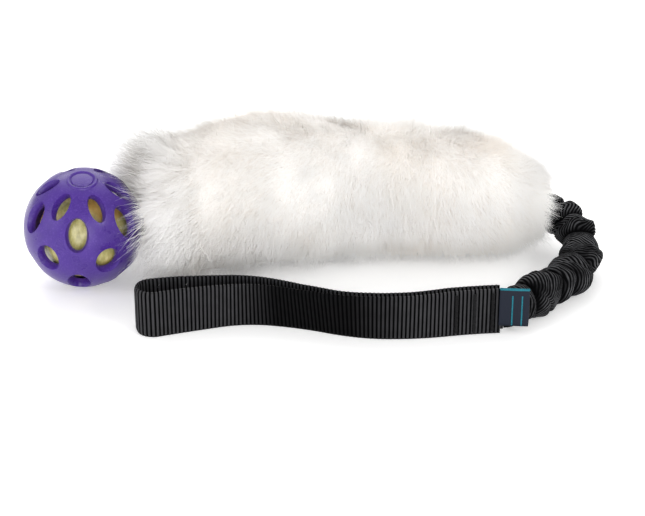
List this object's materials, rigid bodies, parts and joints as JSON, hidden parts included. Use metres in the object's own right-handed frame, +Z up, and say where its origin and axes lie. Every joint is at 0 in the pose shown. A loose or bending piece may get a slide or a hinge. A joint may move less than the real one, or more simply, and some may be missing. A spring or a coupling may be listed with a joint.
{
  "type": "bungee tug toy",
  "caption": "Webbing hand loop, gathered bungee sleeve bent in a U, long fluffy fur sleeve and a rubber lattice ball with a ball inside, in one line.",
  "frame": {"origin": "middle of the toy's footprint, on the ground that it lies on", "axes": "+X towards the bungee's U, away from the ball; +Y from the hand loop towards the fur sleeve; +Z up"},
  "size_m": [0.3075, 0.1548, 0.0848],
  "materials": {
    "black_webbing": "woven rib",
    "black_thread": "thread",
    "navy_label": "woven",
    "grey_elastic": "matt",
    "cream_fur": "long pile",
    "purple_rubber": "satin",
    "crackle_plastic": "pearly"
  },
  "bodies": {
    "handle": {"handle_webbing": "black_webbing", "sleeve_tail": "black_webbing", "stitch_row_front_1": "black_thread", "stitch_row_front_2": "black_thread", "stitch_row_front_3": "black_thread", "stitch_row_back_1": "black_thread", "stitch_row_back_2": "black_thread", "stitch_row_back_3": "black_thread", "elastic_core": "grey_elastic"},
    "gather_1": {"sleeve_gather_1": "black_webbing"},
    "gather_2": {"sleeve_gather_2": "black_webbing"},
    "gather_3": {"sleeve_gather_3": "black_webbing"},
    "gather_4": {"sleeve_gather_4": "black_webbing"},
    "gather_5": {"sleeve_gather_5": "black_webbing"},
    "gather_6": {"sleeve_gather_6": "black_webbing"},
    "gather_7": {"sleeve_gather_7": "black_webbing"},
    "gather_8": {"sleeve_gather_8": "black_webbing"},
    "label": {"label": "navy_label"},
    "fur_1": {"fur_sleeve_1": "cream_fur"},
    "fur_2": {"fur_sleeve_2": "cream_fur", "inner_strap": "black_webbing"},
    "fur_3": {"fur_sleeve_3": "cream_fur"},
    "ball": {"ball_cage": "purple_rubber", "tether_loop": "black_webbing"},
    "crackle": {"crackle_ball": "crackle_plastic"}
  },
  "joints": [
    {"name": "bungee_bend", "type": "hinge", "parent": "handle", "child": "gather_1", "pos_m": [0.0958, -0.0645, 0.0108], "axis": [0, 0, -1], "range_deg": [0, 10], "deforming": ["elastic_core"]},
    {"name": "bungee_stretch", "type": "slide", "parent": "gather_1", "child": "gather_2", "axis": [0.6759, 0.7369, 0], "range_m": [0, 0.02], "stiffness_N_per_m": 2400, "deforming": ["elastic_core"]},
    {"name": "bungee_bend_2", "type": "hinge", "parent": "gather_2", "child": "gather_3", "pos_m": [0.12092, -0.03733, 0.0108], "axis": [0, 0, -1], "range_deg": [0, 36]},
    {"name": "bungee_stretch_2", "type": "slide", "parent": "gather_3", "child": "gather_4", "axis": [0.6517, 0.7585, 0], "range_m": [0, 0.02]},
    {"name": "bungee_bend_3", "type": "hinge", "parent": "gather_4", "child": "gather_5", "pos_m": [0.13889, -0.01347, 0.01156], "axis": [0, 0, -1], "range_deg": [0, 36]},
    {"name": "bungee_stretch_3", "type": "slide", "parent": "gather_5", "child": "gather_6", "axis": [-0.1392, 0.9903, 0], "range_m": [0, 0.02]},
    {"name": "bungee_bend_4", "type": "hinge", "parent": "gather_6", "child": "gather_7", "pos_m": [0.13849, 0.02404, 0.02089], "axis": [0, 0, -1], "range_deg": [0, 36]},
    {"name": "bungee_stretch_4", "type": "slide", "parent": "gather_7", "child": "gather_8", "axis": [-0.8118, 0.584, 0], "range_m": [0, 0.02]},
    {"name": "label_flap", "type": "hinge", "parent": "handle", "child": "label", "pos_m": [0.0929, -0.06891, 0], "axis": [0, 0, -1], "range_deg": [0, 110]},
    {"name": "bungee_bend_5", "type": "hinge", "parent": "gather_8", "child": "fur_1", "pos_m": [0.12395, 0.03544, 0.0245], "axis": [0, 0, -1], "range_deg": [0, 25.5]},
    {"name": "fur_bend", "type": "hinge", "parent": "fur_1", "child": "fur_2", "pos_m": [0.05038, 0.03892, 0.0245], "axis": [0, 0, 1], "range_deg": [-12, 3], "deforming": ["inner_strap"]},
    {"name": "fur_bend_2", "type": "hinge", "parent": "fur_2", "child": "fur_3", "pos_m": [-0.02329, 0.02692, 0.0245], "axis": [0, 0, 1], "range_deg": [-12, 3]},
    {"name": "ball_swing", "type": "hinge", "parent": "fur_3", "child": "ball", "pos_m": [-0.09, 0.00272, 0.0245], "axis": [0, 0, 1], "range_deg": [-18, 18]},
    {"name": "crackle_spin", "type": "hinge", "parent": "ball", "child": "crackle", "pos_m": [-0.12256, -0.00786, 0.02985], "axis": [0, 0, 1], "continuous": true}
  ],
  "couplings": [
    {"joint": "bungee_bend_2", "follows": "bungee_bend", "ratio": 3.6},
    {"joint": "bungee_stretch_2", "follows": "bungee_stretch", "ratio": 1},
    {"joint": "bungee_bend_3", "follows": "bungee_bend", "ratio": 3.6},
    {"joint": "bungee_stretch_3", "follows": "bungee_stretch", "ratio": 1},
    {"joint": "bungee_bend_4", "follows": "bungee_bend", "ratio": 3.6},
    {"joint": "bungee_stretch_4", "follows": "bungee_stretch", "ratio": 1},
    {"joint": "bungee_bend_5", "follows": "bungee_bend", "ratio": 2.55},
    {"joint": "fur_bend_2", "follows": "fur_bend", "ratio": 1}
  ]
}
